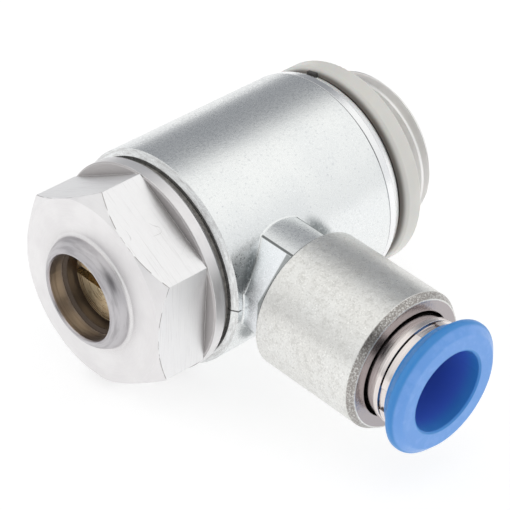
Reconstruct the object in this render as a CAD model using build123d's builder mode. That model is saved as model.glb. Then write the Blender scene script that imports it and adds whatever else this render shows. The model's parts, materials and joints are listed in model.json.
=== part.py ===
"""One-way flow control valve, banjo type, with a G3/8 thread and a push-in outlet for 8 mm tube.

The main axis is +X. The hex head of the hollow bolt is at -X, the G3/8 thread points to +X, and the
origin is the middle of the sealing face, where the thread starts. The outlet points to -Y. Millimetres.
Outlines are lists of (distance along the axis, radius), and depths on the outlet are measured from
the main axis.
"""
import math
import os

from build123d import *

# ---- driving dimensions ------------------------------------------------------------------------
GAP = 0.02                  # gap between pieces that only lean on each other
RUNNING = 0.05              # radial clearance of a running fit
EDGE = 0.3                  # usual broken edge

THREAD_R = 8.33             # G3/8: crest radius, root radius and pitch
THREAD_ROOT_R = 7.47
THREAD_PITCH = 1.337
THREAD_CREST = 0.30         # width of a crest
THREAD_TURNS = 4
PORT_END = 4.9              # end of the thread
PORT_BORE_R = 5.2

HEX_AF = 19.0               # hex across flats
HEX_FRONT = -33.75
HEX_BACK = -27.85
HEX_CHAMFER_R = 9.55        # where the hex chamfer meets the front face
HEX_CHAMFER_DEPTH = 1.15
FLANGE_R = 10.85
FLANGE_BACK = -26.10
LIP_TOP = -35.35            # raised lip round the adjuster recess
LIP_LAND_R = 4.70
LIP_SHOULDER = (-34.80, 5.40)
LIP_BASE_R = 5.80
LIP_FILLET = 0.35
RECESS_R = 4.45
RECESS_FLOOR = -33.30

SCREW_BORE_R = 4.1          # bore that carries the regulating screw
SCREW_BORE_END = -21.20
CHAMBER_R = 3.6
SEAT_POCKET_R = 4.4
SEAT_START = -16.40
SEAT_END = -13.20
SEAT_R = 2.4
SHANK_R = 8.0               # guide land under the head
SHANK_LAND_END = -21.60
SHANK_WAIST_R = 7.2
SHANK_NECK_R = 6.6
SHANK_SHOULDER = -16.60
SPIGOT_START = -8.00        # bolt end that carries the port nipple
SPIGOT_END = -1.20
SPIGOT_R = 5.9
INLET_X = -10.2             # six cross holes lead the port's air past the lip seal
INLET_HOLE_R = 1.4
METERED_HOLE_R = 1.2        # four cross holes behind the seat feed the outlet

BODY_R = 11.25              # swivel body
BODY_HEAD_END = -25.60
BODY_HEAD_EDGE = (0.4, 0.65)          # length and depth of the chamfer at the head end
BODY_PORT_END = -3.00
BODY_PORT_RIM = -4.60       # a fine groove sets off the rim at the port end
RIM_GROOVE = 0.08
RIM_R = 11.18
RIM_STEP = (-3.80, 0.09)
RIM_END_R = 10.72
BODY_LAND_R = SHANK_R + RUNNING
BODY_LAND_END = -22.60
CHECK_LAND_R = 8.9          # bore that the lip seal wipes
CHECK_LAND_END = -12.20
GUIDE_R = 9.3               # guide land of the nipple in the body
GUIDE_START = -7.2

NIPPLE_FLANGE = (-2.6, -1.55)         # flange that keeps the swivel body on the bolt
NIPPLE_FLANGE_R = 10.2
RING_SEAT_R = 8.0           # port sealing ring
RING_BACK_END = -2.5
PORT_RING_R = 10.97
PORT_RING_WAIST_R = 10.42
PORT_RING_SHOULDER = -1.7
PORT_RING_LIP_R = 8.45

HEAD_GASKET_R = 10.2        # flat gaskets on both ends of the swivel body
PORT_GASKET_R = 10.1

OUTLET_X = -18.7            # outlet axis
NECK_R = 6.4
NECK_FLAT = 5.6             # distance from the outlet axis to the four neck flats
NECK_FLAT_ANGLE = 50        # between the flat's normal and +Z
NECK_SIDE = 5.85            # half the neck width
NECK_FILLET = 0.2
NECK_START = 5.0
NECK_END = 14.1
OUTLET_SPIGOT_R = 5.9
OUTLET_SPIGOT_END = 18.0
OUTLET_PASSAGE_R = 3.0
TUBE_STOP = 13.2
TUBE_SOCKET_R = 4.1         # socket for the 8 mm tube
CARTRIDGE_R = 7.2
CARTRIDGE_END = 26.8
CARTRIDGE_EDGE = (0.7, 0.45)
CARTRIDGE_BORE_R = OUTLET_SPIGOT_R + RUNNING
CAVITY_START = 20.95
CAVITY_CONE = (24.6, 25.4)
CAVITY_R = 6.3
MOUTH_R = 5.55
SUPPORT_START = 20.05

COLLET_R = 5.25             # slotted metal collet and blue release ring
COLLET_RIDGE_R = 5.5
COLLET_RIDGE = (27.85, 28.45)
COLLET_LUGS = 28.65
COLLET_LUG_GAP = 2.5
COLLET_HEAD_R = 6.1
COLLET_HEAD_END = 24.1
COLLET_INNER = 22.6
COLLET_OUTER = 29.45
COLLET_BORE_R = 4.9
COLLET_SLOT = (0.8, 3.6)    # width and length of the cuts between the six fingers
TOOTH_R = 4.05
RING_BORE_R = 4.2
RING_SLEEVE_END = 25.2
RING_BACK = 29.6
RING_FRONT = 32.1
RING_BAND = (30.8, 31.3)
RING_R = 6.88
RING_FACE_R = 5.95
RING_ROUND = 0.35

SCREW_R = SCREW_BORE_R - RUNNING
SCREW_HEAD = -32.35
SCREW_THREAD_END = -26.6
SCREW_RELIEF = (-26.0, 0.55)          # end and depth of the relief behind the thread
SCREW_LAND_END = -22.9      # land that carries the O-ring
SCREW_PITCH = 0.75
SCREW_WAIST_R = 2.9
SCREW_NEEDLE = (-18.0, -13.5)
SCREW_TIP_R = 1.2
SCREW_SLOT = (1.1, 1.5)     # width and depth of the screwdriver slot

# seal grooves: start, end and floor radius
HEAD_GROOVE = (-24.9, -23.4, 6.85)
LIP_GROOVE = (-15.5, -13.5, 5.6)
SPIGOT_GROOVE = (-6.9, -5.9, 5.0)
NIPPLE_GROOVE = (-5.9, -4.4, 8.1)
SCREW_GROOVE = (-25.15, -23.65, 2.76)
OUTLET_GROOVE = (15.2, 16.4, 4.95)

MAIN = Plane.XY
OUTLET = Plane(origin=(OUTLET_X, 0, 0), x_dir=(0, -1, 0), z_dir=(0, 0, 1))
MAIN_AXIS = Axis.X
OUTLET_AXIS = Axis((OUTLET_X, 0, 0), (0, -1, 0))

os.makedirs("parts", exist_ok=True)


def turn(outline, plane=MAIN, axis=MAIN_AXIS, mode=Mode.ADD):
    """Turn a closed outline of (distance along the axis, radius) points about its axis."""
    with BuildSketch(plane) as section:
        with BuildLine():
            Polyline(*outline, close=True)
        make_face()
    revolve(section.sketch, axis=axis, mode=mode)


def sleeve(start, end, inner_r, outer_r, plane=MAIN, axis=MAIN_AXIS, mode=Mode.ADD):
    """A plain ring between two distances and two radii."""
    turn([(start, inner_r), (end, inner_r), (end, outer_r), (start, outer_r)], plane, axis, mode)


def cut_groove(groove, top_r, plane=MAIN, axis=MAIN_AXIS):
    start, end, floor_r = groove
    sleeve(start, end, floor_r, top_r, plane, axis, Mode.SUBTRACT)


def o_ring(groove, wire_r, plane=MAIN, axis=MAIN_AXIS):
    """An O-ring of wire radius wire_r in the middle of its groove, on the groove's floor."""
    start, end, floor_r = groove
    with BuildSketch(plane) as section:
        with Locations(((start + end) / 2, floor_r + GAP + wire_r)):
            Circle(wire_r)
    revolve(section.sketch, axis=axis)


def cross_holes(place, radius, count, first_angle):
    """Radial holes through the bolt shank, evenly spaced round the main axis."""
    for number in range(count):
        turned = first_angle + number * 360 / count
        outward = (0, math.sin(math.radians(turned)), math.cos(math.radians(turned)))
        with BuildSketch(Plane(origin=(place, 0, 0), x_dir=(1, 0, 0), z_dir=outward)) as hole:
            Circle(radius)
        extrude(hole.sketch, amount=SHANK_R + 1, mode=Mode.SUBTRACT)


def across_outlet(depth):
    """A plane square to the outlet axis, facing the way the tube leaves."""
    return Plane(origin=(OUTLET_X, -depth, 0), x_dir=(1, 0, 0), z_dir=(0, -1, 0))


def save(builder, name):
    builder.part.label = name
    export_step(builder.part, f"parts/{name}.step")


# ---- hollow bolt: hex head, flange, raised lip, shank with two rows of cross holes ----------------
with BuildPart() as hollow_bolt:
    with BuildSketch(Plane.YZ.offset(HEX_FRONT)):
        RegularPolygon(radius=HEX_AF / 2, side_count=6, major_radius=False, rotation=30)
    extrude(amount=HEX_BACK - HEX_FRONT)
    hex_corner_r = HEX_AF / 2 / math.cos(math.radians(30))
    turn([(HEX_FRONT, 0), (HEX_FRONT, HEX_CHAMFER_R),
          (HEX_FRONT + HEX_CHAMFER_DEPTH, hex_corner_r), (HEX_BACK, hex_corner_r), (HEX_BACK, 0)],
         mode=Mode.INTERSECT)
    turn([(HEX_BACK, 0), (HEX_BACK, FLANGE_R - EDGE / 2), (HEX_BACK + EDGE / 2, FLANGE_R),
          (FLANGE_BACK - 0.5, FLANGE_R), (FLANGE_BACK, FLANGE_R - 0.4), (FLANGE_BACK, 0)])
    with BuildSketch(MAIN) as lip:
        inside = HEX_FRONT + 0.5
        with BuildLine():
            Line((inside, 0), (LIP_TOP, 0))
            Line((LIP_TOP, 0), (LIP_TOP, LIP_LAND_R))
            ThreePointArc((LIP_TOP, LIP_LAND_R), LIP_SHOULDER, (HEX_FRONT, LIP_BASE_R))
            Polyline((HEX_FRONT, LIP_BASE_R), (HEX_FRONT, LIP_BASE_R + 1), (inside, LIP_BASE_R + 1),
                     (inside, 0))
        make_face()
        foot = lip.vertices().sort_by_distance((HEX_FRONT, LIP_BASE_R))[0]
        fillet(foot, radius=LIP_FILLET)
    revolve(axis=MAIN_AXIS)
    turn([(FLANGE_BACK, 0), (FLANGE_BACK, SHANK_R), (SHANK_LAND_END, SHANK_R),
          (SHANK_LAND_END + SHANK_R - SHANK_WAIST_R, SHANK_WAIST_R), (SHANK_SHOULDER, SHANK_WAIST_R),
          (SHANK_SHOULDER, SHANK_NECK_R), (SPIGOT_START, SHANK_NECK_R), (SPIGOT_START, SPIGOT_R),
          (SPIGOT_END - EDGE, SPIGOT_R), (SPIGOT_END, SPIGOT_R - EDGE), (SPIGOT_END, 0)])
    turn([(LIP_TOP - 1, 0), (LIP_TOP - 1, RECESS_R + 0.1), (LIP_TOP, RECESS_R + 0.1),
          (LIP_TOP + 0.2, RECESS_R), (RECESS_FLOOR - EDGE, RECESS_R), (RECESS_FLOOR, SCREW_BORE_R),
          (SCREW_BORE_END, SCREW_BORE_R), (SCREW_BORE_END + EDGE, CHAMBER_R), (SEAT_START, CHAMBER_R),
          (SEAT_START, SEAT_POCKET_R), (SPIGOT_END + 1, SEAT_POCKET_R), (SPIGOT_END + 1, 0)],
         mode=Mode.SUBTRACT)
    cut_groove(HEAD_GROOVE, SHANK_R + 1)
    cut_groove(LIP_GROOVE, SHANK_NECK_R + 1)
    cut_groove(SPIGOT_GROOVE, SPIGOT_R + 1)
    cross_holes(OUTLET_X, METERED_HOLE_R, count=4, first_angle=45)
    cross_holes(INLET_X, INLET_HOLE_R, count=6, first_angle=0)

# ---- port nipple: threaded end, flange that holds the swivel body, guide land --------------------
with BuildPart() as port_nipple:
    flange_start, flange_end = NIPPLE_FLANGE
    nipple_bore_r = SPIGOT_R + GAP
    turn([(SPIGOT_START, nipple_bore_r), (SPIGOT_START, SHANK_WAIST_R), (GUIDE_START, GUIDE_R - EDGE),
          (GUIDE_START + EDGE, GUIDE_R), (flange_start, GUIDE_R), (flange_start, NIPPLE_FLANGE_R),
          (flange_end, NIPPLE_FLANGE_R), (flange_end, RING_SEAT_R), (-GAP, RING_SEAT_R),
          (-GAP, THREAD_ROOT_R), (PORT_END, THREAD_ROOT_R), (PORT_END, PORT_BORE_R + EDGE),
          (PORT_END - EDGE, PORT_BORE_R), (SPIGOT_END, PORT_BORE_R), (SPIGOT_END, nipple_bore_r)])
    for thread_turn in range(THREAD_TURNS):
        crest = thread_turn * THREAD_PITCH
        flank = (THREAD_PITCH - THREAD_CREST) / 2 - 0.1
        near_foot = -GAP if thread_turn == 0 else crest - flank
        far_foot = crest + THREAD_CREST + flank
        turn([(near_foot, THREAD_ROOT_R - 0.1), (near_foot, THREAD_ROOT_R), (crest - GAP, THREAD_R),
              (crest + THREAD_CREST, THREAD_R), (far_foot, THREAD_ROOT_R),
              (far_foot, THREAD_ROOT_R - 0.1)])
    cut_groove(NIPPLE_GROOVE, GUIDE_R + 1)

# ---- port sealing ring: cream polymer, captive between the nipple flange and the thread ----------
with BuildPart() as port_seal_ring:
    turn([(flange_end + GAP, RING_SEAT_R + GAP), (-0.1, RING_SEAT_R + GAP), (-0.1, PORT_RING_LIP_R),
          (0, PORT_RING_LIP_R), (0, PORT_RING_R), (PORT_RING_SHOULDER, PORT_RING_R),
          (RING_BACK_END, PORT_RING_WAIST_R), (RING_BACK_END, NIPPLE_FLANGE_R + GAP),
          (flange_end + GAP, NIPPLE_FLANGE_R + GAP)])
    rim = port_seal_ring.edges().filter_by(GeomType.CIRCLE).filter_by(
        lambda edge: abs(edge.radius - PORT_RING_R) < GAP)
    fillet(rim, radius=0.22)

# ---- flat gaskets on both ends of the swivel body -------------------------------------------------
with BuildPart() as head_gasket:
    sleeve(FLANGE_BACK + GAP, BODY_HEAD_END - GAP, SHANK_R + RUNNING, HEAD_GASKET_R)

with BuildPart() as port_gasket:
    gasket_start, gasket_end = BODY_PORT_END + GAP, flange_start - GAP
    sleeve(gasket_start, gasket_end, GUIDE_R + RUNNING, PORT_GASKET_R)
    tab_angle, tab_foot, tab_reach, tab_width = 13.5, 9.8, 1.15, 1.2    # pull tab, just off the top
    tab_way = (0, math.sin(math.radians(tab_angle)), math.cos(math.radians(tab_angle)))
    tab_middle = (gasket_start + gasket_end) / 2
    with BuildSketch(Plane(origin=(tab_middle, tab_foot * tab_way[1], tab_foot * tab_way[2]),
                           x_dir=(1, 0, 0), z_dir=tab_way)):
        Rectangle(gasket_end - gasket_start, tab_width)
    extrude(amount=tab_reach)

# ---- seals on the bolt ------------------------------------------------------------------------
with BuildPart() as head_o_ring:
    o_ring(HEAD_GROOVE, wire_r=0.58)

with BuildPart() as port_o_ring:
    o_ring(NIPPLE_GROOVE, wire_r=0.60)

with BuildPart() as nipple_o_ring:
    o_ring(SPIGOT_GROOVE, wire_r=0.43)

with BuildPart() as check_support_ring:
    support_end, support_r = LIP_GROOVE[0] - 0.1, 8.5
    turn([(SHANK_SHOULDER + GAP, SHANK_NECK_R + GAP), (support_end, SHANK_NECK_R + GAP),
          (support_end, support_r - EDGE), (support_end - EDGE, support_r),
          (SHANK_SHOULDER + GAP, support_r)])

with BuildPart() as check_lip_seal:
    heel, hub_end, lip_end = LIP_GROOVE[0] + RUNNING, LIP_GROOVE[1] - RUNNING, -12.35
    lip_r, hub_r, back_r, back_end = CHECK_LAND_R - RUNNING, 6.75, 7.9, -14.5
    turn([(heel, LIP_GROOVE[2] + GAP), (hub_end, LIP_GROOVE[2] + GAP), (hub_end, hub_r),
          (lip_end, lip_r - 0.5), (lip_end, lip_r), (lip_end - 0.35, lip_r), (back_end, back_r),
          (heel, back_r)])

with BuildPart() as throttle_seat:
    seat_r, seat_start = SEAT_POCKET_R - GAP, SEAT_START + GAP
    turn([(seat_start, SEAT_R + 0.4), (SEAT_START + 0.4, SEAT_R), (SEAT_END - 0.8, SEAT_R),
          (SEAT_END, SEAT_R + 0.8), (SEAT_END, seat_r), (seat_start, seat_r)])

# ---- regulating screw with its O-ring -----------------------------------------------------------
with BuildPart() as screw_o_ring:
    o_ring(SCREW_GROOVE, wire_r=0.64)

with BuildPart() as regulating_screw:
    relief_end, relief_depth = SCREW_RELIEF
    relief_r = SCREW_R - relief_depth
    needle_start, needle_end = SCREW_NEEDLE
    turn([(SCREW_HEAD, 0), (SCREW_HEAD, SCREW_R - EDGE), (SCREW_HEAD + EDGE, SCREW_R),
          (SCREW_THREAD_END, SCREW_R), (SCREW_THREAD_END + EDGE, relief_r), (relief_end, relief_r),
          (relief_end + 0.2, SCREW_R), (SCREW_LAND_END, SCREW_R),
          (SCREW_LAND_END + EDGE, SCREW_WAIST_R), (needle_start - 0.5, SCREW_WAIST_R),
          (needle_start, SEAT_R - 0.08), (needle_end, SCREW_TIP_R), (needle_end, 0)])
    cut_groove(SCREW_GROOVE, SCREW_R + 1)
    groove_count = int((SCREW_THREAD_END - SCREW_HEAD - 1) / SCREW_PITCH)
    for number in range(groove_count):
        groove = SCREW_HEAD + 0.8 + number * SCREW_PITCH
        turn([(groove - 0.25, SCREW_R + 0.1), (groove - 0.25, SCREW_R), (groove, SCREW_R - 0.3),
              (groove + 0.25, SCREW_R), (groove + 0.25, SCREW_R + 0.1)], mode=Mode.SUBTRACT)
    slot_width, slot_depth = SCREW_SLOT
    with BuildSketch(Plane.YZ.offset(SCREW_HEAD)):
        Rectangle(2 * SCREW_R + 1, slot_width)
    extrude(amount=slot_depth, mode=Mode.SUBTRACT)

# ---- swivel body: barrel, flatted neck and outlet spigot --------------------------------------
with BuildPart() as swivel_body:
    edge_length, edge_drop = BODY_HEAD_EDGE
    step_x, step_drop = RIM_STEP
    turn([(BODY_HEAD_END, 0), (BODY_HEAD_END, BODY_R - edge_drop),
          (BODY_HEAD_END + edge_length, BODY_R), (BODY_PORT_RIM - 2 * RIM_GROOVE, BODY_R),
          (BODY_PORT_RIM - RIM_GROOVE, BODY_R - 1.5 * RIM_GROOVE), (BODY_PORT_RIM, RIM_R),
          (step_x, RIM_R - RIM_GROOVE), (step_x + RIM_GROOVE, RIM_R - RIM_GROOVE - step_drop),
          (BODY_PORT_END, RIM_END_R), (BODY_PORT_END, 0)])
    with BuildSketch(across_outlet(NECK_END)):
        Circle(NECK_R)
        Rectangle(2 * NECK_SIDE, 4 * NECK_R, mode=Mode.INTERSECT)
        for side in (1, -1):
            Rectangle(4 * NECK_R, 2 * NECK_FLAT, rotation=side * NECK_FLAT_ANGLE, mode=Mode.INTERSECT)
    extrude(amount=NECK_START - NECK_END)
    neck_root = swivel_body.edges().filter_by(GeomType.LINE, reverse=True).filter_by(
        lambda edge: -NECK_END + NECK_FILLET < edge.center().Y < -NECK_START
        and abs(edge.center().X - OUTLET_X) < NECK_SIDE + NECK_FILLET)
    fillet(neck_root, radius=NECK_FILLET)
    turn([(NECK_END - 1, 0), (NECK_END - 1, NECK_FLAT - EDGE), (NECK_END, NECK_FLAT - EDGE),
          (NECK_END, OUTLET_SPIGOT_R), (OUTLET_SPIGOT_END - EDGE, OUTLET_SPIGOT_R),
          (OUTLET_SPIGOT_END, OUTLET_SPIGOT_R - EDGE), (OUTLET_SPIGOT_END, 0)], OUTLET, OUTLET_AXIS)
    cut_groove(OUTLET_GROOVE, OUTLET_SPIGOT_R + 1, OUTLET, OUTLET_AXIS)
    turn([(BODY_HEAD_END - 1, 0), (BODY_HEAD_END - 1, BODY_LAND_R), (BODY_LAND_END, BODY_LAND_R),
          (BODY_LAND_END + 0.5, CHECK_LAND_R), (CHECK_LAND_END, CHECK_LAND_R),
          (CHECK_LAND_END + 0.4, GUIDE_R + RUNNING), (BODY_PORT_END + 1, GUIDE_R + RUNNING),
          (BODY_PORT_END + 1, 0)], mode=Mode.SUBTRACT)
    turn([(NECK_START, 0), (NECK_START, OUTLET_PASSAGE_R), (TUBE_STOP, OUTLET_PASSAGE_R),
          (TUBE_STOP, TUBE_SOCKET_R), (OUTLET_SPIGOT_END + 1, TUBE_SOCKET_R),
          (OUTLET_SPIGOT_END + 1, 0)], OUTLET, OUTLET_AXIS, mode=Mode.SUBTRACT)

# ---- outlet cartridge and the seals in it -----------------------------------------------------
with BuildPart() as outlet_cartridge:
    cone_start, cone_end = CAVITY_CONE
    edge_length, edge_drop = CARTRIDGE_EDGE
    turn([(NECK_END, CARTRIDGE_BORE_R), (CAVITY_START, CARTRIDGE_BORE_R), (CAVITY_START, CAVITY_R),
          (cone_start, CAVITY_R), (cone_end, MOUTH_R), (CARTRIDGE_END, MOUTH_R),
          (CARTRIDGE_END, CARTRIDGE_R - edge_drop), (CARTRIDGE_END - edge_length, CARTRIDGE_R),
          (NECK_END + 0.25, CARTRIDGE_R), (NECK_END, CARTRIDGE_R - 0.25)], OUTLET, OUTLET_AXIS)

with BuildPart() as cartridge_o_ring:
    o_ring(OUTLET_GROOVE, 0.48, OUTLET, OUTLET_AXIS)

with BuildPart() as tube_seal:
    o_ring((OUTLET_SPIGOT_END, SUPPORT_START, TUBE_SOCKET_R - RUNNING), 0.92, OUTLET, OUTLET_AXIS)

with BuildPart() as seal_support_ring:
    sleeve(SUPPORT_START, CAVITY_START - RUNNING, 4.2, CARTRIDGE_BORE_R - GAP, OUTLET, OUTLET_AXIS)

# ---- collet and release ring, which slide together --------------------------------------------
with BuildPart() as collet:
    ridge_start, ridge_end = COLLET_RIDGE
    turn([(COLLET_INNER, TOOTH_R + 0.35), (COLLET_INNER + EDGE, TOOTH_R), (COLLET_INNER + 0.8, 4.5),
          (COLLET_HEAD_END + 0.7, COLLET_BORE_R), (COLLET_OUTER, COLLET_BORE_R),
          (COLLET_OUTER, COLLET_R), (ridge_end + 0.1, COLLET_R), (ridge_end, COLLET_RIDGE_R),
          (ridge_start + 0.1, COLLET_RIDGE_R), (ridge_start, COLLET_R),
          (COLLET_HEAD_END + 0.6, COLLET_R), (COLLET_HEAD_END, COLLET_HEAD_R),
          (COLLET_INNER + EDGE, COLLET_HEAD_R), (COLLET_INNER, COLLET_HEAD_R - EDGE)],
         OUTLET, OUTLET_AXIS)
    with BuildSketch(across_outlet(COLLET_LUGS)):
        Circle(COLLET_RIDGE_R - 0.03)
        Circle(COLLET_R - 0.1, mode=Mode.SUBTRACT)
        for turned in (0, 90):
            Rectangle(COLLET_LUG_GAP, 3 * COLLET_R, rotation=turned, mode=Mode.SUBTRACT)
    extrude(amount=COLLET_OUTER - COLLET_LUGS)
    slot_width, slot_length = COLLET_SLOT
    with BuildSketch(across_outlet(COLLET_INNER)):
        for turned in (0, 60, 120):                   # three saw cuts across make six fingers
            Rectangle(slot_width, 3 * COLLET_R, rotation=turned)
    extrude(amount=slot_length, mode=Mode.SUBTRACT)

with BuildPart() as release_ring:
    sleeve_r = COLLET_BORE_R - RUNNING
    band_start, band_end = RING_BAND
    with BuildSketch(OUTLET) as ring_section:
        with BuildLine():
            Polyline((RING_SLEEVE_END, RING_BORE_R), (RING_SLEEVE_END, sleeve_r),
                     (COLLET_OUTER + GAP, sleeve_r), (COLLET_OUTER + GAP, RING_FACE_R - EDGE),
                     (RING_BACK + 0.1, RING_FACE_R - 0.2), (band_start, RING_R), (band_end, RING_R),
                     (RING_FRONT, RING_FACE_R), (RING_FRONT, RING_BORE_R + 0.15),
                     (RING_FRONT - 0.15, RING_BORE_R), close=True)
        make_face()
        rim = ring_section.vertices().sort_by(Axis.Y)[-3:]
        fillet(rim, radius=RING_ROUND)
    revolve(axis=OUTLET_AXIS)

FINISHED = {
    "hollow_bolt": hollow_bolt, "port_nipple": port_nipple, "port_seal_ring": port_seal_ring,
    "head_gasket": head_gasket, "port_gasket": port_gasket, "head_o_ring": head_o_ring,
    "port_o_ring": port_o_ring, "nipple_o_ring": nipple_o_ring,
    "check_support_ring": check_support_ring, "check_lip_seal": check_lip_seal,
    "throttle_seat": throttle_seat, "screw_o_ring": screw_o_ring,
    "regulating_screw": regulating_screw, "swivel_body": swivel_body,
    "outlet_cartridge": outlet_cartridge, "cartridge_o_ring": cartridge_o_ring,
    "tube_seal": tube_seal, "seal_support_ring": seal_support_ring, "collet": collet,
    "release_ring": release_ring,
}
for piece_name, builder in FINISHED.items():
    save(builder, piece_name)
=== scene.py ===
"""Looks of the one-way flow control valve: materials, the helical port thread, stage, light and camera.

The main axis is +X, out of the threaded port. The outlet points to -Y. Places along an axis and radii
are in mm, and the factor MM turns them into Blender's metres.
"""
import json
import math

import bmesh
import bpy
from mathutils import Matrix, Vector


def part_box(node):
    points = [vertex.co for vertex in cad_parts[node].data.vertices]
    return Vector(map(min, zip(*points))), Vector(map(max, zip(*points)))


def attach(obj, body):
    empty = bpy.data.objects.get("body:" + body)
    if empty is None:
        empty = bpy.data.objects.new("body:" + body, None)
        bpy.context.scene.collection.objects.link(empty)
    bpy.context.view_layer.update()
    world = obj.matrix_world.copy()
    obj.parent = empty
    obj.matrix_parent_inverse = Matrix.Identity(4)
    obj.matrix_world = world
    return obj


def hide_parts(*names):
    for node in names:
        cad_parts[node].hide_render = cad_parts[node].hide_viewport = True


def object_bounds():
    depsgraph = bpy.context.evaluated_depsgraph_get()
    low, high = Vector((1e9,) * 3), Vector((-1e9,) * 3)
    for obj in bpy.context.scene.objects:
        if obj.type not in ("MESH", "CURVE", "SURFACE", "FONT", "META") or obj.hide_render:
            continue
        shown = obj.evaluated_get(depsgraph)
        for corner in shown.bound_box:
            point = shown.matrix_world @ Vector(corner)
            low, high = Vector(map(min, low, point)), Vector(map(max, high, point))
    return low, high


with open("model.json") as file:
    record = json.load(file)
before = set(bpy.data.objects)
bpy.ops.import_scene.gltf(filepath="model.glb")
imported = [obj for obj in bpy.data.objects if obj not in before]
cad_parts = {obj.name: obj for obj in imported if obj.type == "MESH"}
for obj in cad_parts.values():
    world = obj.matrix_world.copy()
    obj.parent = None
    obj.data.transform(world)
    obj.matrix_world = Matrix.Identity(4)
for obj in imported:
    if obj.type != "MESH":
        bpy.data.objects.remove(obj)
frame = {"nodes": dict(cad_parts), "record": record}
cad_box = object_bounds()
MM = 0.001


# ---- places, read from the frame -----------------------------------------------------------------
def in_mm(metres):
    """A length or place of the frame in mm, to the nearest micron."""
    return round(metres / MM, 3)


bolt_low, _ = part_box("hollow_bolt")
nipple_low, nipple_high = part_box("port_nipple")
body_low, body_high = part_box("swivel_body")
cartridge_low, cartridge_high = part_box("outlet_cartridge")
ring_low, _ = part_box("release_ring")

FLOOR_Z = cad_box[0][2]                           # this and OUTLET_X stay in metres
OUTLET_X = (cartridge_low[0] + cartridge_high[0]) / 2
LIP_TOP = in_mm(bolt_low[0])                      # raised lip round the adjuster recess
HEAD_RIM = in_mm(body_low[0])                     # head end of the swivel body
BARREL_R = in_mm(body_high[1])
CARTRIDGE_START = in_mm(cartridge_high[1])
CARTRIDGE_FACE = in_mm(cartridge_low[1])
RING_FACE = in_mm(ring_low[1])
NIPPLE_START = in_mm(nipple_low[0])
THREAD_END = in_mm(nipple_high[0])

# ---- places of details that have no node of their own --------------------------------------------
HEX_FRONT = LIP_TOP + 1.60
HEX_BACK = HEX_FRONT + 5.90
CHAMFER_R, CHAMFER_SLOPE = 9.55, 1.235            # radius of the hex chamfer at the front, and its slope
LIP_BASE_R = 5.80
RECESS_R = 4.45
RECESS_FLOOR = HEX_FRONT + 0.45
PORT_RIM = -4.6                                   # groove round the port end of the swivel body
SKIRT_EDGE = -1.7                                 # where the sealing ring narrows towards the gap
NECK_R = 6.4
NECK_EDGE_ANGLE = 21.0                            # from +Z, where a neck flat meets the round top
BEVEL_START_R, BEVEL_END = 6.75, CARTRIDGE_FACE + 0.7         # bevel round the cartridge's face
RING_BORE_R = 4.2

# ---- view ------------------------------------------------------------------------------------------
VIEW_AZIMUTH = -45.345
VIEW_ELEVATION = 36.975
VIEW_ROLL = 3.162
VIEW_TARGET = Vector((-13.73, -1.66, -4.44)) * MM
VIEW_DISTANCE = 240 * MM
LENS = 169.67
SENSOR_WIDTH = 36


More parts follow.
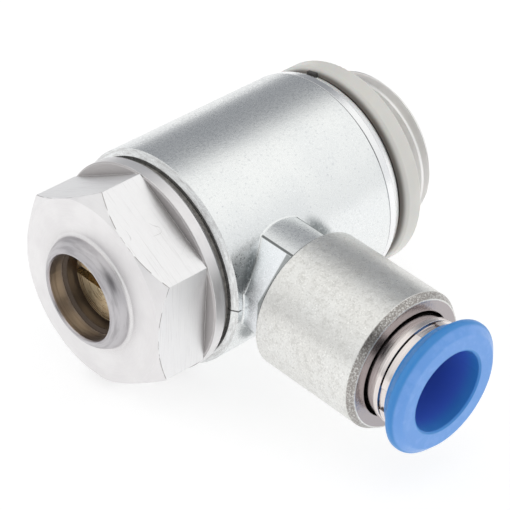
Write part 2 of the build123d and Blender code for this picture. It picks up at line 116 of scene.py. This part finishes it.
# ---- shader building -------------------------------------------------------------------------------
class Shader:
    """A Principled material whose colour, roughness and bump are built up from named patterns."""

    def __init__(self, name, colour, metallic, roughness, **uniform):
        self.material = bpy.data.materials.new(name)
        self.material.use_nodes = True
        self.tree = self.material.node_tree
        self.bsdf = self.tree.nodes["Principled BSDF"]
        self.bsdf.inputs["Base Color"].default_value = (*colour, 1)
        self.bsdf.inputs["Metallic"].default_value = metallic
        self.bsdf.inputs["Roughness"].default_value = roughness
        for socket, value in uniform.items():
            self.bsdf.inputs[socket.replace("_", " ")].default_value = value
        self.place = self.node("ShaderNodeTexCoord").outputs["Object"]
        self.normal = None

    def node(self, kind, **settings):
        made = self.tree.nodes.new(kind)
        for name, value in settings.items():
            setattr(made, name, value)
        return made

    def link(self, output, socket):
        self.tree.links.new(output, socket)

    def calc(self, operation, *values):
        """One Math node; each value is a number or another node's output."""
        made = self.node("ShaderNodeMath", operation=operation)
        for index, value in enumerate(values):
            if isinstance(value, (int, float)):
                made.inputs[index].default_value = value
            else:
                self.link(value, made.inputs[index])
        return made.outputs[0]

    # places on the object

    def split(self, vector):
        made = self.node("ShaderNodeSeparateXYZ")
        self.link(vector, made.inputs[0])
        return made.outputs

    def axial(self, factors, outlet=False):
        """(distance along an axis, radius, angle), each times its factor, as one vector.

        The axis is the main one, or the outlet's. The angle is in radians from +Z.
        """
        x, y, z = self.split(self.place)
        if outlet:
            along, aside = y, self.calc("SUBTRACT", x, OUTLET_X)
        else:
            along, aside = x, y
        radius = self.calc("SQRT", self.calc("ADD", self.calc("MULTIPLY", aside, aside),
                                             self.calc("MULTIPLY", z, z)))
        angle = self.calc("ARCTAN2", aside, z)
        joined = self.node("ShaderNodeCombineXYZ")
        for index, (value, factor) in enumerate(zip((along, radius, angle), factors)):
            self.link(self.calc("MULTIPLY", value, factor), joined.inputs[index])
        return joined.outputs[0]

    def parts(self, outlet=False):
        """Distance along an axis, radius and angle in degrees, as three outputs. Lengths are in mm."""
        return self.split(self.axial((1 / MM, 1 / MM, math.degrees(1)), outlet))

    # masks, from 0 to 1

    def span(self, value, low, high, to_low, to_high, smooth=True):
        """Turns a value between low and high into one between to_low and to_high."""
        made = self.node("ShaderNodeMapRange", interpolation_type="SMOOTHSTEP" if smooth else "LINEAR")
        for name, number in (("From Min", low), ("From Max", high), ("To Min", to_low), ("To Max", to_high)):
            made.inputs[name].default_value = number
        self.link(value, made.inputs["Value"])
        return made.outputs["Result"]

    def above(self, value, low, high):
        """0 up to low and 1 from high on."""
        return self.span(value, low, high, 0, 1)

    def below(self, value, low, high):
        """1 up to low and 0 from high on."""
        return self.span(value, low, high, 1, 0)

    def band(self, value, low, high, edge):
        """1 between two values, falling to 0 over the edge width outside them."""
        return self.both(self.above(value, low - edge, low), self.below(value, high, high + edge))

    def both(self, *masks):
        joined = masks[0]
        for mask in masks[1:]:
            joined = self.calc("MULTIPLY", joined, mask)
        return joined

    def corner_shade(self, distance, open_share=0.9, shut_share=0.35):
        """1 deep in a corner or gap, 0 on open faces: a mask for painted shade."""
        made = self.node("ShaderNodeAmbientOcclusion", samples=6)
        made.inputs["Distance"].default_value = distance
        return self.span(made.outputs["AO"], shut_share, open_share, 1, 0, smooth=False)

    def edges(self, radius):
        """0 on open faces and up to 1 on edges: how far the bevelled normal leans from the true one."""
        bevel = self.node("ShaderNodeBevel", samples=4)
        bevel.inputs["Radius"].default_value = radius
        geometry = self.node("ShaderNodeNewGeometry")
        dot = self.node("ShaderNodeVectorMath", operation="DOT_PRODUCT")
        self.link(bevel.outputs[0], dot.inputs[0])
        self.link(geometry.outputs["Normal"], dot.inputs[1])
        return self.calc("SUBTRACT", 1.0, dot.outputs["Value"])

    def noise(self, scale, detail=3.0, roughness=0.5, vector=None):
        """Fractal noise; the scale is in features a metre where no vector is given."""
        made = self.node("ShaderNodeTexNoise")
        made.inputs["Scale"].default_value = scale
        made.inputs["Detail"].default_value = detail
        made.inputs["Roughness"].default_value = roughness
        self.link(vector or self.place, made.inputs["Vector"])
        return made.outputs["Fac"]

    def lines(self, factors, detail=3.0, roughness=0.6, outlet=False):
        """Noise over distance, radius and angle, drawn out most where the factor is smallest."""
        return self.noise(1.0, detail, roughness, self.axial(factors, outlet))

    # looks

    def tint(self, mask, colour, low=0.0, high=1.0):
        """Mixes a colour over what the base colour is so far, where the mask is high."""
        made = self.node("ShaderNodeMix", data_type="RGBA")
        socket = self.bsdf.inputs["Base Color"]
        if socket.is_linked:
            self.link(socket.links[0].from_socket, made.inputs[6])
        else:
            made.inputs[6].default_value = socket.default_value
        made.inputs[7].default_value = (*colour, 1)
        self.link(self.above(mask, low, high), made.inputs[0])
        self.link(made.outputs[2], socket)

    def rough(self, pattern, to_low, to_high):
        """Lets the roughness follow a noise pattern between two values."""
        self.link(self.span(pattern, 0.3, 0.7, to_low, to_high), self.bsdf.inputs["Roughness"])

    def rough_where(self, mask, value):
        """Moves the roughness towards a value where the mask is 1."""
        made = self.node("ShaderNodeMix")
        socket = self.bsdf.inputs["Roughness"]
        self.link(socket.links[0].from_socket, made.inputs[2])
        made.inputs[3].default_value = value
        self.link(mask, made.inputs[0])
        self.link(made.outputs[0], socket)

    def soften(self, radius):
        """Rounds the shading of sharp edges, as tumbling rounds a machined part."""
        made = self.node("ShaderNodeBevel", samples=4)
        made.inputs["Radius"].default_value = radius
        self.normal = made.outputs["Normal"]
        self.link(self.normal, self.bsdf.inputs["Normal"])

    def bump(self, height, distance, strength=1.0):
        made = self.node("ShaderNodeBump")
        made.inputs["Strength"].default_value = strength
        made.inputs["Distance"].default_value = distance
        self.link(height, made.inputs["Height"])
        if self.normal is not None:
            self.link(self.normal, made.inputs["Normal"])
        self.normal = made.outputs["Normal"]
        self.link(self.normal, self.bsdf.inputs["Normal"])


# ---- hollow bolt -----------------------------------------------------------------------------------
def mill_flats(s, along, radius):
    """Brighter hex flats with milling lines, scratches and a broken dark line along the chamfer's edge.
    Gives the flats and their lines.
    """
    # the hex chamfer is a cone; the flats lie just inside it
    cone = s.calc("ADD", s.calc("MULTIPLY", s.calc("SUBTRACT", along, HEX_FRONT), CHAMFER_SLOPE), CHAMFER_R)
    inside = s.calc("SUBTRACT", cone, radius)
    flats = s.both(s.band(along, HEX_FRONT + 0.05, HEX_BACK - 0.05, 0.02), s.band(inside, 0.04, 20, 0.03))
    milled = s.lines((9000, 60, 2), 4, 0.65)
    streak = s.lines((2600, 40, 1.5))
    wander = s.calc("ABSOLUTE", s.calc("SUBTRACT", s.noise(330, 1), 0.5))
    scratch = s.both(flats, s.below(wander, 0.001, 0.006), s.span(s.noise(260, 1), 0.60, 0.66, 0, 0.5))
    chamfer_edge_line = s.both(flats, s.band(inside, 0.06, 0.13, 0.05), s.above(s.noise(900, 3), 0.40, 0.55))
    s.tint(flats, (0.90, 0.895, 0.90))
    s.tint(s.both(flats, s.span(milled, 0.50, 0.72, 0, 0.55)), (0.70, 0.685, 0.69))
    s.tint(s.both(flats, s.span(streak, 0.58, 0.72, 0, 0.30)), (0.60, 0.585, 0.59))
    s.tint(scratch, (0.48, 0.47, 0.47))
    s.tint(chamfer_edge_line, (0.42, 0.40, 0.40))
    return flats, milled


def paint_lip_shade(s, along, radius):
    """The lip round the adjuster recess, darker with darker streaks: a painted dark reflection."""
    lip = s.both(s.band(radius, RECESS_R - 0.05, LIP_BASE_R - 0.08, 0.10),
                 s.below(along, HEX_FRONT - 0.30, HEX_FRONT - 0.12))
    lip_streaks = s.span(s.lines((1500, 2600, 1.6), 4, 0.62), 0.34, 0.70, 0, 0.8)
    # painted dark reflection on the lip, with darker streaks in it
    s.tint(lip, (0.54, 0.525, 0.54))
    s.tint(s.both(lip, lip_streaks), (0.38, 0.365, 0.38))
    s.rough_where(lip, 0.35)


def paint_recess_shade(s, along, radius):
    """The recess with its turning marks, the chamfer at its floor and the start of the screw's bore, all
    darkened as painted shade.
    """
    recess = s.both(s.below(radius, RECESS_R + 0.02, RECESS_R + 0.07),
                    s.below(along, HEX_FRONT + 1.5, HEX_FRONT + 2))
    turned = s.above(s.lines((2400, 0, 0.4)), 0.45, 0.62)
    bore = s.above(along, RECESS_FLOOR - 0.35, RECESS_FLOOR - 0.29)
    chamfer = s.band(along, RECESS_FLOOR - 0.31, RECESS_FLOOR + 0.01, 0.04)
    # painted shade: the recess wall darker, its floor chamfer and the bore's start darkest
    s.tint(recess, (0.58, 0.53, 0.53))
    s.tint(s.both(recess, turned), (0.46, 0.41, 0.405))
    s.tint(s.both(recess, bore), (0.17, 0.145, 0.135))
    s.tint(s.both(recess, chamfer), (0.100, 0.078, 0.062))


def bolt_aluminium():
    s = Shader("bolt_aluminium", (0.80, 0.785, 0.79), 1.0, 0.42)
    along, radius, _ = s.parts()
    turned = s.lines((9000, 9000, 6))
    s.tint(s.noise(260, 4), (0.85, 0.838, 0.84), 0.4, 0.7)
    flats, milled = mill_flats(s, along, radius)
    s.rough(turned, 0.38, 0.52)
    # painted shade: a darker band on the flange face at the foot of the hex
    hex_foot_shade = s.band(along, HEX_BACK - 0.05, HEX_BACK + 0.12, 0.03)
    s.tint(hex_foot_shade, (0.50, 0.48, 0.48))
    # painted shade in corners and gaps
    s.tint(s.corner_shade(1.6 * MM), (0.34, 0.325, 0.32))
    # painted highlight: lighter colour along the edges
    s.tint(s.edges(0.10 * MM), (0.93, 0.925, 0.925), 0.02, 0.25)
    paint_lip_shade(s, along, radius)
    paint_recess_shade(s, along, radius)
    s.soften(0.07 * MM)
    s.bump(turned, 0.006 * MM)
    s.bump(s.both(flats, milled), 0.012 * MM)
    s.bump(s.noise(7000, 2), 0.003 * MM)
    return s.material


# ---- swivel body -----------------------------------------------------------------------------------
def draw_rims(s, along):
    """A darker, streaky head rim, which is painted shade, a bright port rim, and painted shade in the fine
    groove before it. Gives the port rim.
    """
    head_rim_shade = s.both(s.below(along, HEAD_RIM + 0.35, HEAD_RIM + 0.5),
                      s.span(s.lines((4200, 4200, 9), 4, 0.65), 0.35, 0.70, 0.2, 0.8))
    port_rim = s.above(along, PORT_RIM - 0.05, PORT_RIM + 0.02)
    groove = s.band(along, PORT_RIM - 0.17, PORT_RIM - 0.04, 0.03)
    # painted shade: the head rim darker, broken by streaky grain
    s.tint(head_rim_shade, (0.56, 0.555, 0.55))
    s.tint(port_rim, (0.90, 0.905, 0.91))
    # painted shade in the fine groove
    s.tint(groove, (0.30, 0.30, 0.31))
    return port_rim


def parting_nick_shade(s, along):
    """The mould's parting line across the rim at the head end, on the outlet's side and level with it: the
    dark mark there is painted shade of a nick.
    """
    _, across, height = s.split(s.place)
    level = s.calc("ABSOLUTE", s.calc("MULTIPLY", height, 1 / MM))
    return s.both(s.below(level, 0.05, 0.12), s.below(along, HEAD_RIM + 0.70, HEAD_RIM + 0.85),
                  s.below(across, -8 * MM, -7 * MM))


def shade_neck(s, radius, grain):
    """Painted light on the neck flats and painted shade where flats and barrel meet. Gives painted shade
    lines along the neck's edges and at the flats' ends next to the cartridge.
    """
    depth, reach, turn = s.parts(outlet=True)
    outlet_side = s.below(depth, -6, -5)
    # degrees from +Z or -Z, whichever is nearer, so that all four flats are alike
    fold = s.calc("SUBTRACT", 90.0,
                  s.calc("ABSOLUTE", s.calc("SUBTRACT", 90.0, s.calc("ABSOLUTE", turn))))
    flat_side = s.both(outlet_side, s.above(fold, NECK_EDGE_ANGLE + 0.5, NECK_EDGE_ANGLE + 2),
                       s.above(radius, BARREL_R + 0.05, BARREL_R + 0.3),
                       s.below(reach, NECK_R + 0.1, NECK_R + 0.2))
    neck_shade = s.both(flat_side, s.below(radius, BARREL_R + 0.2, BARREL_R + 2.6),
                     s.span(fold, 48, 66, 0, 0.6), s.below(fold, 74, 88))
    barrel_shade = s.both(outlet_side, s.above(fold, 22, 44), s.below(fold, 56, 82),
                       s.below(reach, NECK_R - 0.3, NECK_R + 1.0),
                       s.below(radius, BARREL_R + 0.05, BARREL_R + 0.3),
                       s.span(grain, 0.2, 0.6, 0.55, 0.85))
    # painted highlight: the neck flats lighter
    s.tint(flat_side, (0.93, 0.96, 0.985))
    # painted shade: dark where the flats and the barrel meet, standing for dark reflections
    s.tint(neck_shade, (0.24, 0.26, 0.265))
    s.tint(barrel_shade, (0.22, 0.24, 0.245))
    from_edge = s.calc("ABSOLUTE", s.calc("SUBTRACT", fold, NECK_EDGE_ANGLE))
    # painted shade: a dark line along the edge where the flats meet the round top
    neck_edge_shade = s.both(s.below(from_edge, 0.6, 1.5), s.band(reach, NECK_R - 0.3, NECK_R + 0.1, 0.1),
                       s.above(radius, BARREL_R + 0.02, BARREL_R + 0.12), outlet_side)
    # painted shade: the flats dark next to the cartridge
    neck_end_shade = s.both(flat_side, s.below(depth, CARTRIDGE_START + 0.92, CARTRIDGE_START + 1.15))
    return neck_edge_shade, neck_end_shade


def body_zinc():
    s = Shader("body_zinc", (0.83, 0.848, 0.85), 1.0, 0.30)
    along, radius, _ = s.parts()
    grain = s.noise(4200, 3, 0.6)
    s.tint(s.noise(120, 3), (0.87, 0.885, 0.88), 0.42, 0.62)
    s.tint(grain, (0.68, 0.70, 0.72), 0.56, 0.76)
    s.tint(s.noise(5200, 2, 0.5), (0.90, 0.92, 0.92), 0.60, 0.72)
    port_rim = draw_rims(s, along)
    neck_edge_shade, neck_end_shade = shade_neck(s, radius, grain)
    # painted shade in corners and gaps
    s.tint(s.corner_shade(1.2 * MM, 0.65, 0.20), (0.26, 0.275, 0.28))
    # painted shade: the dark dash of the nick at the parting line
    s.tint(parting_nick_shade(s, along), (0.15, 0.15, 0.15))
    # painted shade lines along the neck's edges
    s.tint(neck_edge_shade, (0.19, 0.20, 0.20))
    # painted shade at the flats' ends next to the cartridge
    s.tint(neck_end_shade, (0.38, 0.40, 0.40))
    s.rough(grain, 0.24, 0.38)
    s.rough_where(port_rim, 0.2)
    s.soften(0.06 * MM)
    s.bump(s.noise(1400, 2), 0.010 * MM, 0.7)
    s.bump(grain, 0.010 * MM)
    return s.material


# ---- materials of the other pieces -----------------------------------------------------------------
def nipple_aluminium():
    s = Shader("nipple_aluminium", (0.84, 0.83, 0.815), 1.0, 0.46)
    rings = s.lines((7000, 7000, 3), 2, 0.5)
    s.tint(s.noise(300, 4), (0.88, 0.87, 0.86), 0.4, 0.7)
    s.rough(rings, 0.42, 0.54)
    s.bump(rings, 0.004 * MM)
    return s.material


def cartridge_nickel():
    s = Shader("cartridge_nickel", (0.77, 0.765, 0.74), 1.0, 0.30)
    depth, reach, _ = s.parts(outlet=True)
    grain = s.noise(5200, 4, 0.65)
    s.tint(s.noise(200, 3), (0.80, 0.80, 0.78), 0.42, 0.62)
    s.tint(s.noise(1300, 4, 0.6), (0.68, 0.675, 0.65), 0.45, 0.70)
    s.tint(grain, (0.60, 0.595, 0.57), 0.50, 0.74)
    s.tint(s.noise(6100, 3, 0.6), (0.92, 0.92, 0.89), 0.54, 0.70)
    bevel = s.both(s.below(depth, BEVEL_END - 0.08, BEVEL_END + 0.02),
                   s.above(reach, BEVEL_START_R - 0.03, BEVEL_START_R + 0.05))
    bevel_grain = s.span(s.noise(6500, 3, 0.6), 0.30, 0.60, 0.2, 1)
    face = s.below(reach, BEVEL_START_R - 0.15, BEVEL_START_R - 0.09)       # and the bore behind it
    start_shade_line = s.above(depth, CARTRIDGE_START - 0.28, CARTRIDGE_START - 0.22)
    # painted dark reflection on the bevel round the face, broken by grain
    s.tint(s.both(bevel, bevel_grain), (0.30, 0.28, 0.265))
    # painted dark reflection on the polished face, and painted shade in the bore behind it
    s.tint(face, (0.42, 0.385, 0.39))
    # painted shade: a dark line where the cartridge starts at the neck
    s.tint(start_shade_line, (0.24, 0.245, 0.245))
    # painted shade in corners and gaps
    s.tint(s.corner_shade(1.0 * MM, 0.60, 0.15), (0.24, 0.22, 0.22))
    s.rough(grain, 0.26, 0.42)
    s.rough_where(face, 0.16)
    s.soften(0.12 * MM)
    s.bump(s.noise(1500, 3), 0.020 * MM, 0.8)
    s.bump(grain, 0.014 * MM)
    return s.material


def collet_steel():
    s = Shader("collet_steel", (0.76, 0.70, 0.68), 1.0, 0.16)
    rings = s.lines((9000, 9000, 2), 2, 0.5, outlet=True)
    s.tint(rings, (0.82, 0.77, 0.75), 0.4, 0.65)
    # painted shade in corners and gaps
    s.tint(s.corner_shade(0.8 * MM, 0.75, 0.30), (0.20, 0.17, 0.17))
    s.rough(rings, 0.14, 0.26)
    s.soften(0.05 * MM)
    s.bump(rings, 0.002 * MM)
    return s.material


def brass(name, colour, light):
    s = Shader(name, colour, 1.0, 0.3)
    dark = tuple(0.8 * part for part in colour)
    rings = s.lines((5000, 5000, 1))
    s.tint(rings, light, 0.4, 0.65)
    s.tint(s.noise(700, 4), dark, 0.52, 0.72)
    s.rough(rings, 0.24, 0.4)
    s.soften(0.06 * MM)
    s.bump(rings, 0.006 * MM)
    return s.material


def black_rubber():
    """Black rubber, paler at the head end as painted light in the gap there, with pale specks, most at the
    head end.
    """
    s = Shader("black_rubber", (0.05, 0.047, 0.044), 0.0, 0.62)
    along, _, _ = s.parts()
    head_start, head_end = HEAD_RIM + 1, HEAD_RIM + 2
    pale_specks = s.both(s.noise(2500, 4), s.span(along, head_start, head_end, 1, 0.4))
    # painted light: the rubber paler in the gap at the head end
    s.tint(s.below(along, head_start, head_end), (0.18, 0.17, 0.157))
    s.tint(pale_specks, (0.30, 0.285, 0.265), 0.45, 0.70)
    s.rough(s.noise(3000, 3), 0.5, 0.72)
    s.bump(s.noise(5000, 3), 0.006 * MM)
    return s.material


def ring_blue():
    s = Shader("ring_blue", (0.04, 0.25, 0.64), 0.0, 0.34, IOR=1.48, Subsurface_Weight=0.12,
               Subsurface_Scale=0.4 * MM)
    s.bsdf.inputs["Subsurface Radius"].default_value = (0.4, 0.7, 1.0)
    depth, reach, _ = s.parts(outlet=True)
    skin = s.noise(5200, 3, 0.6)
    mottle = s.span(s.noise(900, 4, 0.6), 0.45, 0.62, 0, 0.5)
    face = s.both(s.above(reach, RING_BORE_R + 0.15, RING_BORE_R + 0.30),
                  s.below(depth, RING_FACE + 0.45, RING_FACE + 0.75))
    bore = s.both(s.below(reach, RING_BORE_R + 0.05, RING_BORE_R + 0.15),
                  s.span(depth, RING_FACE + 0.3, RING_FACE + 2.6, 0.2, 1))
    s.tint(s.noise(180, 3), (0.055, 0.28, 0.68), 0.4, 0.65)
    # painted light: the front face lighter than the side, mottled
    s.tint(face, (0.14, 0.35, 0.79))
    s.tint(s.both(face, mottle), (0.20, 0.41, 0.85))
    # painted shade: the bore a deeper, violet blue, more so further in
    s.tint(bore, (0.080, 0.190, 0.74))
    # painted shade in corners and gaps
    s.tint(s.corner_shade(1.5 * MM, 0.6, 0.1), (0.05, 0.15, 0.58))
    s.rough(skin, 0.28, 0.42)
    s.soften(0.08 * MM)
    s.bump(skin, 0.003 * MM)
    s.bump(s.lines((1500, 1500, 1), 1, 0.4, outlet=True), 0.004 * MM)
    return s.material


def seal_cream():
    s = Shader("seal_cream", (0.70, 0.69, 0.655), 0.0, 0.38, IOR=1.46, Subsurface_Weight=0.15,
               Subsurface_Scale=0.5 * MM)
    along, _, _ = s.parts()
    rings = s.lines((2600, 2600, 2), 2, 0.5)
    foot = s.below(along, SKIRT_EDGE - 0.75, SKIRT_EDGE - 0.05)
    s.tint(s.noise(160, 3), (0.74, 0.73, 0.70), 0.4, 0.65)
    # painted shade: the skirt towards the gap dark
    s.tint(foot, (0.13, 0.115, 0.10))
    s.rough(rings, 0.32, 0.48)
    s.soften(0.10 * MM)
    s.bump(rings, 0.006 * MM)
    s.bump(s.noise(4500, 3), 0.003 * MM)
    return s.material


def support_white():
    s = Shader("support_white", (0.78, 0.78, 0.76), 0.0, 0.45)
    s.tint(s.noise(400, 3), (0.82, 0.82, 0.80), 0.4, 0.65)
    s.rough(s.noise(3000, 3), 0.38, 0.55)
    s.bump(s.noise(5000, 3), 0.003 * MM)
    return s.material


MATERIALS = {
    "bolt_aluminium": bolt_aluminium(),
    "nipple_aluminium": nipple_aluminium(),
    "body_zinc": body_zinc(),
    "cartridge_nickel": cartridge_nickel(),
    "collet_steel": collet_steel(),
    "screw_brass": brass("screw_brass", (0.76, 0.60, 0.36), (0.88, 0.75, 0.50)),
    "seat_brass": brass("seat_brass", (0.66, 0.52, 0.26), (0.76, 0.62, 0.36)),
    "black_rubber": black_rubber(),
    "ring_blue": ring_blue(),
    "seal_cream": seal_cream(),
    "support_white": support_white(),
}


def dress_cad_nodes():
    """Gives every CAD node the material of its slot in the record."""
    for part in frame["record"]["subparts"]:
        node = frame["nodes"][part["node"]]
        node.data.materials.clear()
        node.data.materials.append(MATERIALS[part["material_slot"]])


# ---- port nipple with its helical thread -----------------------------------------------------------
PITCH = 1.337
CREST_R = 8.33
ROOT_R = 7.47
ROOT_SHARE, FLANK_SHARE = 0.18, 0.64      # of half a pitch, and the crest has the rest
CHAMFER_START = 4.0
RUN_IN = 0.45                             # the thread fades out of a full collar over this length
THREAD_SHIFT = 0.31

SOCKET_END, SOCKET_R = -1.2, 5.92         # socket that takes the bolt's end
BACK_R = 7.1                              # outside of the nipple's back, where the guide's cone starts
GUIDE_START, GUIDE_R = -7.2, 9.3          # land that turns in the swivel body
GUIDE_CHAMFER = 0.3
O_RING_GROOVE = (-5.9, -4.4, 8.1)         # start, end and floor radius
GROOVE_EDGE = 0.05
FLANGE = (-2.6, -1.55, 10.2)              # start, end and radius
FLANGE_EDGE = 0.1
SEAT_R = 8.0                              # seat of the port sealing ring
SEAT_END = -0.02
MOUTH_R = 7.2                             # outside of the flat end round the mouth
BORE_R = 5.2
MOUTH_EDGE = [(0, 0.4), (0.05, 0.25), (0.25, 0)]      # broken edge: (in from the end, out from the bore)
SIDES, THREAD_ROWS = 192, 128


def thread_radius(x, angle):
    """Radius of the G3/8 thread at a place along the axis, for an angle in radians about +X."""
    depth = CREST_R - ROOT_R
    phase = ((x + THREAD_SHIFT) / PITCH - angle / (2 * math.pi)) % 1.0
    rise = min(1.0, max(0.0, (abs(2 * phase - 1) - ROOT_SHARE) / FLANK_SHARE))
    rise = rise * rise * (3 - 2 * rise)
    radius = ROOT_R + depth * rise
    chamfer = CREST_R - max(0.0, x - CHAMFER_START) * depth / (THREAD_END - CHAMFER_START)
    run_in = ROOT_R + depth * max(0.0, 1 - x / RUN_IN) if x < RUN_IN else 0.0
    return min(max(radius, run_in), chamfer)


def nipple_outlines():
    """(distance along the axis, radius) from the socket out to the thread, and from the mouth back in."""
    groove_start, groove_end, groove_r = O_RING_GROOVE
    flange_start, flange_end, flange_r = FLANGE
    before = [(SOCKET_END, SOCKET_R), (NIPPLE_START, SOCKET_R), (NIPPLE_START, BACK_R),
              (GUIDE_START, GUIDE_R - GUIDE_CHAMFER), (GUIDE_START + GUIDE_CHAMFER, GUIDE_R),
              (groove_start - GROOVE_EDGE, GUIDE_R), (groove_start, GUIDE_R - GROOVE_EDGE),
              (groove_start, groove_r), (groove_end, groove_r),
              (groove_end, GUIDE_R - GROOVE_EDGE), (groove_end + GROOVE_EDGE, GUIDE_R),
              (flange_start, GUIDE_R), (flange_start, flange_r - FLANGE_EDGE),
              (flange_start + FLANGE_EDGE, flange_r), (flange_end - FLANGE_EDGE, flange_r),
              (flange_end, flange_r - FLANGE_EDGE), (flange_end, SEAT_R), (SEAT_END, SEAT_R)]
    mouth_edge = [(THREAD_END - back, BORE_R + out) for back, out in MOUTH_EDGE]
    after = [(THREAD_END, MOUTH_R), *mouth_edge, (SOCKET_END, BORE_R)]
    return before, after


def port_nipple():
    """The nipple as one turned skin: inner socket and bore, flange in the gap, and the helical thread."""
    before, after = nipple_outlines()
    angles = [2 * math.pi * side / SIDES for side in range(SIDES)]
    rows = [[(x, radius)] * SIDES for x, radius in before]
    for row in range(THREAD_ROWS + 1):
        x = THREAD_END * row / THREAD_ROWS
        rows.append([(x, thread_radius(x, angle)) for angle in angles])
    rows += [[(x, radius)] * SIDES for x, radius in after]
    mesh = bmesh.new()
    grid = []
    for row in rows:
        places = [(x * MM, radius * math.cos(angle) * MM, radius * math.sin(angle) * MM)
                  for (x, radius), angle in zip(row, angles)]
        grid.append([mesh.verts.new(place) for place in places])
    for ring, following in zip(grid, grid[1:] + grid[:1]):
        for side in range(SIDES):
            beside = (side + 1) % SIDES
            mesh.faces.new((ring[side], ring[beside], following[beside], following[side]))
    bmesh.ops.recalc_face_normals(mesh, faces=mesh.faces)
    piece = finish_mesh(mesh, "threaded_nipple", "nipple_aluminium", smooth_angle=32)
    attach(piece, "bolt")
    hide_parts("port_nipple")


def finish_mesh(mesh, name, slot, smooth_angle):
    """Turns a bmesh into a piece with its slot's material and smooth shading below the angle."""
    data = bpy.data.meshes.new(name)
    mesh.to_mesh(data)
    mesh.free()
    data.materials.append(MATERIALS[slot])
    piece = bpy.data.objects.new(name, data)
    bpy.context.scene.collection.objects.link(piece)
    data.shade_smooth()
    data.set_sharp_from_angle(angle=math.radians(smooth_angle))
    return piece


# ---- stage, light and camera -----------------------------------------------------------------------
def make_camera():
    """A camera that looks at the target along the azimuth and elevation, rolled about its own axis."""
    azimuth, elevation, roll = map(math.radians, (VIEW_AZIMUTH, VIEW_ELEVATION, VIEW_ROLL))
    back = Vector((math.sin(azimuth) * math.cos(elevation), -math.cos(azimuth) * math.cos(elevation),
                   math.sin(elevation)))
    level = Vector((math.cos(azimuth), math.sin(azimuth), 0))
    right = level * math.cos(roll) + back.cross(level) * math.sin(roll)
    up = back.cross(right)
    data = bpy.data.cameras.new("camera")
    data.lens = LENS
    data.sensor_width = SENSOR_WIDTH
    data.clip_start = 10 * MM
    data.clip_end = 10
    camera = bpy.data.objects.new("camera", data)
    bpy.context.scene.collection.objects.link(camera)
    turn = Matrix((right, up, back)).transposed().to_4x4()
    camera.matrix_world = Matrix.Translation(VIEW_TARGET + back * VIEW_DISTANCE) @ turn
    bpy.context.scene.camera = camera


def make_floor():
    """A white floor that glows a little, so that it stays white round the valve."""
    bpy.ops.mesh.primitive_plane_add(size=4, location=(0, 0, FLOOR_Z))
    floor = bpy.context.object
    floor.name = "floor"
    s = Shader("floor_white", (0.42, 0.42, 0.42), 0.0, 0.9)
    s.tint(s.noise(3, 2), (0.44, 0.44, 0.44), 0.4, 0.6)
    s.bsdf.inputs["Emission Color"].default_value = (1, 1, 1, 1)
    s.bsdf.inputs["Emission Strength"].default_value = 0.68
    floor.data.materials.append(s.material)


TENT_WALL = (0.86, 0.87, 0.88, 1)
# azimuth and elevation of its middle, inner and outer angle in degrees, and colour
TENT_PANELS = [
    ((0, 90), (30, 85), (1.06, 1.06, 1.05, 1)),            # soft light overhead
    ((52, 25), (11, 42), (0.30, 0.31, 0.33, 1)),           # grey card behind, on the thread's side
    ((148, -2), (4, 20), (0.68, 0.68, 0.68, 1)),           # pale card behind, on the head's side
    ((225.3, 37), (12, 26), (0.03, 0.03, 0.035, 1)),       # dark opening at the photograph's viewpoint
]


def make_world():
    """A white light tent with its panels, each fading out between its inner and outer angle."""
    world = bpy.data.worlds.new("light_tent")
    world.use_nodes = True
    bpy.context.scene.world = world
    tree = world.node_tree
    background = tree.nodes["Background"]
    coordinates = tree.nodes.new("ShaderNodeTexCoord")

    def toward(azimuth, elevation, inner, outer):
        """1 within the inner angle of a direction, falling to 0 at the outer angle, in degrees."""
        azimuth, elevation = math.radians(azimuth), math.radians(elevation)
        dot = tree.nodes.new("ShaderNodeVectorMath")
        dot.operation = "DOT_PRODUCT"
        dot.inputs[1].default_value = (math.cos(azimuth) * math.cos(elevation),
                                       math.sin(azimuth) * math.cos(elevation), math.sin(elevation))
        tree.links.new(coordinates.outputs["Generated"], dot.inputs[0])
        fade = tree.nodes.new("ShaderNodeMapRange")
        fade.interpolation_type = "SMOOTHSTEP"
        fade.inputs["From Min"].default_value = math.cos(math.radians(outer))
        fade.inputs["From Max"].default_value = math.cos(math.radians(inner))
        tree.links.new(dot.outputs["Value"], fade.inputs["Value"])
        return fade.outputs["Result"]

    wall = None
    for direction, angles, colour in TENT_PANELS:
        mixed = tree.nodes.new("ShaderNodeMix")
        mixed.data_type = "RGBA"
        tree.links.new(toward(*direction, *angles), mixed.inputs[0])
        mixed.inputs[6].default_value = TENT_WALL
        if wall is not None:
            tree.links.new(wall, mixed.inputs[6])
        mixed.inputs[7].default_value = colour
        wall = mixed.outputs[2]
    tree.links.new(wall, background.inputs["Color"])
    background.inputs["Strength"].default_value = 1.0


make_camera()
dress_cad_nodes()
port_nipple()
make_floor()
make_world()
bpy.context.scene.view_settings.view_transform = "Standard"
